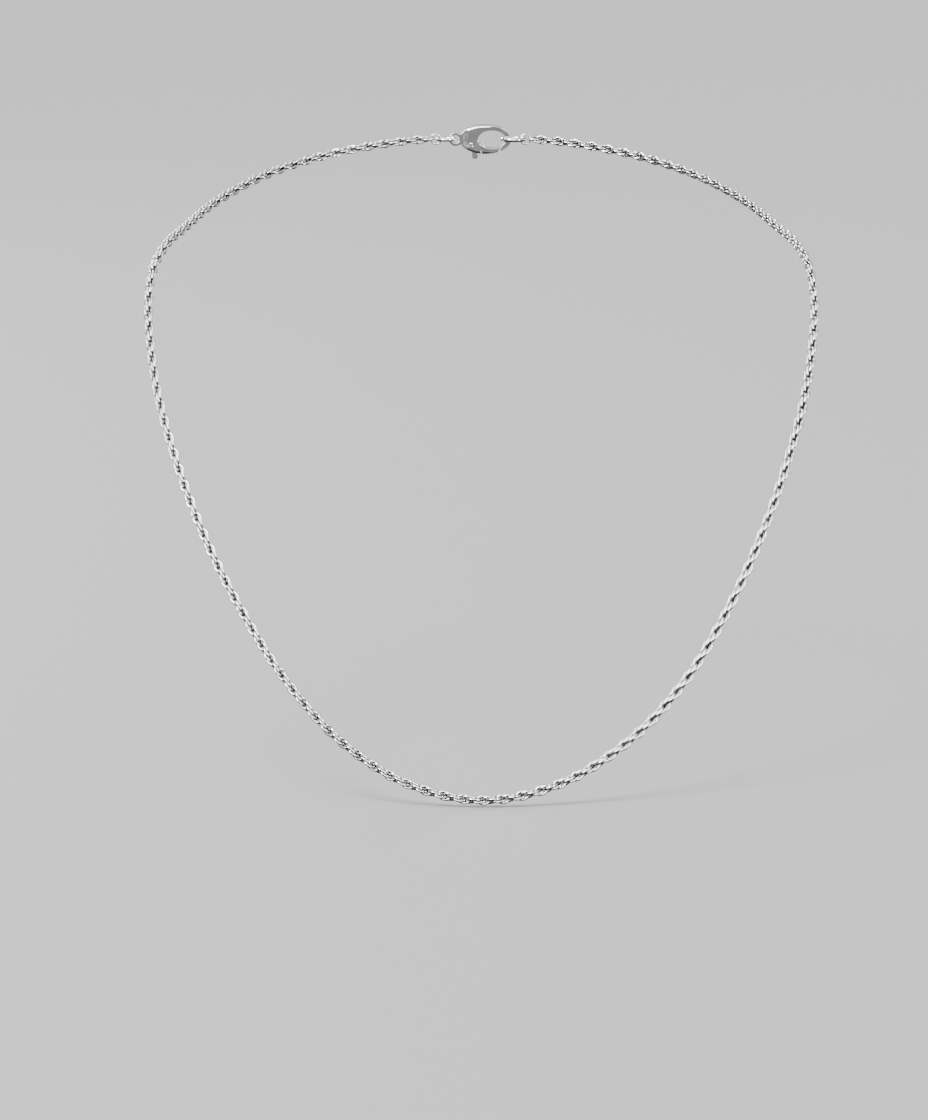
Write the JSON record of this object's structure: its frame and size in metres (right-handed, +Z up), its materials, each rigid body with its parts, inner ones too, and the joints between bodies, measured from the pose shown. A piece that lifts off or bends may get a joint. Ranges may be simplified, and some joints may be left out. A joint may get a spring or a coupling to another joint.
{
  "type": "chain necklace",
  "caption": "Fine twisted silver chain necklace in its worn shape, closed at the nape by a lobster claw clasp with jump rings.",
  "frame": {"origin": "on the nape, where the flat back of the clasp meets the neck, at mount neck", "axes": "+Z up as worn, -Y towards the front of the necklace, +X towards the wearer's left and along the clasp"},
  "size_m": [0.1221, 0.1305, 0.1055],
  "materials": {
    "chain_silver": "bright rhodium-plated sterling silver wire",
    "ring_silver": "polished sterling silver wire",
    "clasp_silver": "polished sterling silver casting",
    "pin_silver": "riveted wire, polished flush",
    "spring_steel": "bright stainless spring wire"
  },
  "bodies": {
    "nape": {"chain_nape_left": "chain_silver", "chain_nape_right": "chain_silver", "end_link_left": "chain_silver", "end_link_right": "chain_silver"},
    "drape_1": {"chain_drape_1_left": "chain_silver", "chain_drape_1_right": "chain_silver"},
    "drape_2": {"chain_drape_2_left": "chain_silver", "chain_drape_2_right": "chain_silver"},
    "drape_3": {"chain_drape_3_left": "chain_silver", "chain_drape_3_right": "chain_silver"},
    "drape_4": {"chain_drape_4_left": "chain_silver", "chain_drape_4_right": "chain_silver"},
    "drape_5": {"chain_drape_5_left": "chain_silver", "chain_drape_5_right": "chain_silver"},
    "drape_6": {"chain_drape_6_left": "chain_silver", "chain_drape_6_right": "chain_silver"},
    "drape_7": {"chain_drape_7_left": "chain_silver", "chain_drape_7_right": "chain_silver"},
    "front": {"chain_front": "chain_silver"},
    "clasp": {"clasp_body": "clasp_silver", "clasp_pivot_pin": "pin_silver", "clasp_spring": "spring_steel"},
    "trigger": {"clasp_trigger": "clasp_silver"},
    "jump_ring": {"jump_ring": "ring_silver"},
    "catch_ring": {"catch_ring": "ring_silver"}
  },
  "joints": [
    {"name": "drape_1_lift", "type": "hinge", "parent": "nape", "child": "drape_1", "pos_m": [0.00018, -0.0555, -0.01569], "axis": [-1, 0.0018, 0.0007], "range_deg": [0, 40]},
    {"name": "drape_2_lift", "type": "hinge", "parent": "drape_1", "child": "drape_2", "pos_m": [0.00004, -0.07033, -0.02711], "axis": [-1, 0.0017, 0.0016], "range_deg": [0, 12]},
    {"name": "drape_3_lift", "type": "hinge", "parent": "drape_2", "child": "drape_3", "pos_m": [0.00002, -0.08221, -0.04033], "axis": [-1, 0.0012, 0.0022], "range_deg": [0, 12]},
    {"name": "drape_4_lift", "type": "hinge", "parent": "drape_3", "child": "drape_4", "pos_m": [0.00009, -0.09224, -0.05321], "axis": [-1, 0.0014, 0.0029], "range_deg": [0, 12]},
    {"name": "drape_5_lift", "type": "hinge", "parent": "drape_4", "child": "drape_5", "pos_m": [0.00023, -0.1009, -0.06535], "axis": [-1, 0.0029, 0.0037], "range_deg": [0, 12]},
    {"name": "drape_6_lift", "type": "hinge", "parent": "drape_5", "child": "drape_6", "pos_m": [0.00042, -0.10899, -0.07714], "axis": [-1, 0.0048, 0.0063], "range_deg": [0, 12]},
    {"name": "drape_7_lift", "type": "hinge", "parent": "drape_6", "child": "drape_7", "pos_m": [0.0004, -0.1165, -0.08803], "axis": [-1, 0.0054, 0.0078], "range_deg": [0, 12]},
    {"name": "front_lift", "type": "hinge", "parent": "drape_7", "child": "front", "pos_m": [0.00024, -0.12253, -0.0969], "axis": [-1, 0.0039, 0.0048], "range_deg": [0, 12]},
    {"name": "clasp_roll", "type": "hinge", "parent": "nape", "child": "clasp", "pos_m": [0, 0.0012, 0], "axis": [1, 0, 0], "range_deg": [-12, 12]},
    {"name": "jump_ring_roll", "type": "hinge", "parent": "nape", "child": "jump_ring", "pos_m": [-0.0066, 0.0012, 0], "axis": [1, 0, 0], "range_deg": [-12, 12]},
    {"name": "catch_ring_roll", "type": "hinge", "parent": "nape", "child": "catch_ring", "pos_m": [0.00645, 0.0012, 0], "axis": [1, 0, 0], "range_deg": [-12, 12]},
    {"name": "trigger_press", "type": "hinge", "parent": "clasp", "child": "trigger", "pos_m": [-0.00175, 0.0012, -0.00095], "axis": [0, -1, 0], "range_deg": [0, 18], "stiffness_Nm_per_rad": 0.002, "springref_deg": -11.46, "deforming": ["clasp_spring"]}
  ]
}
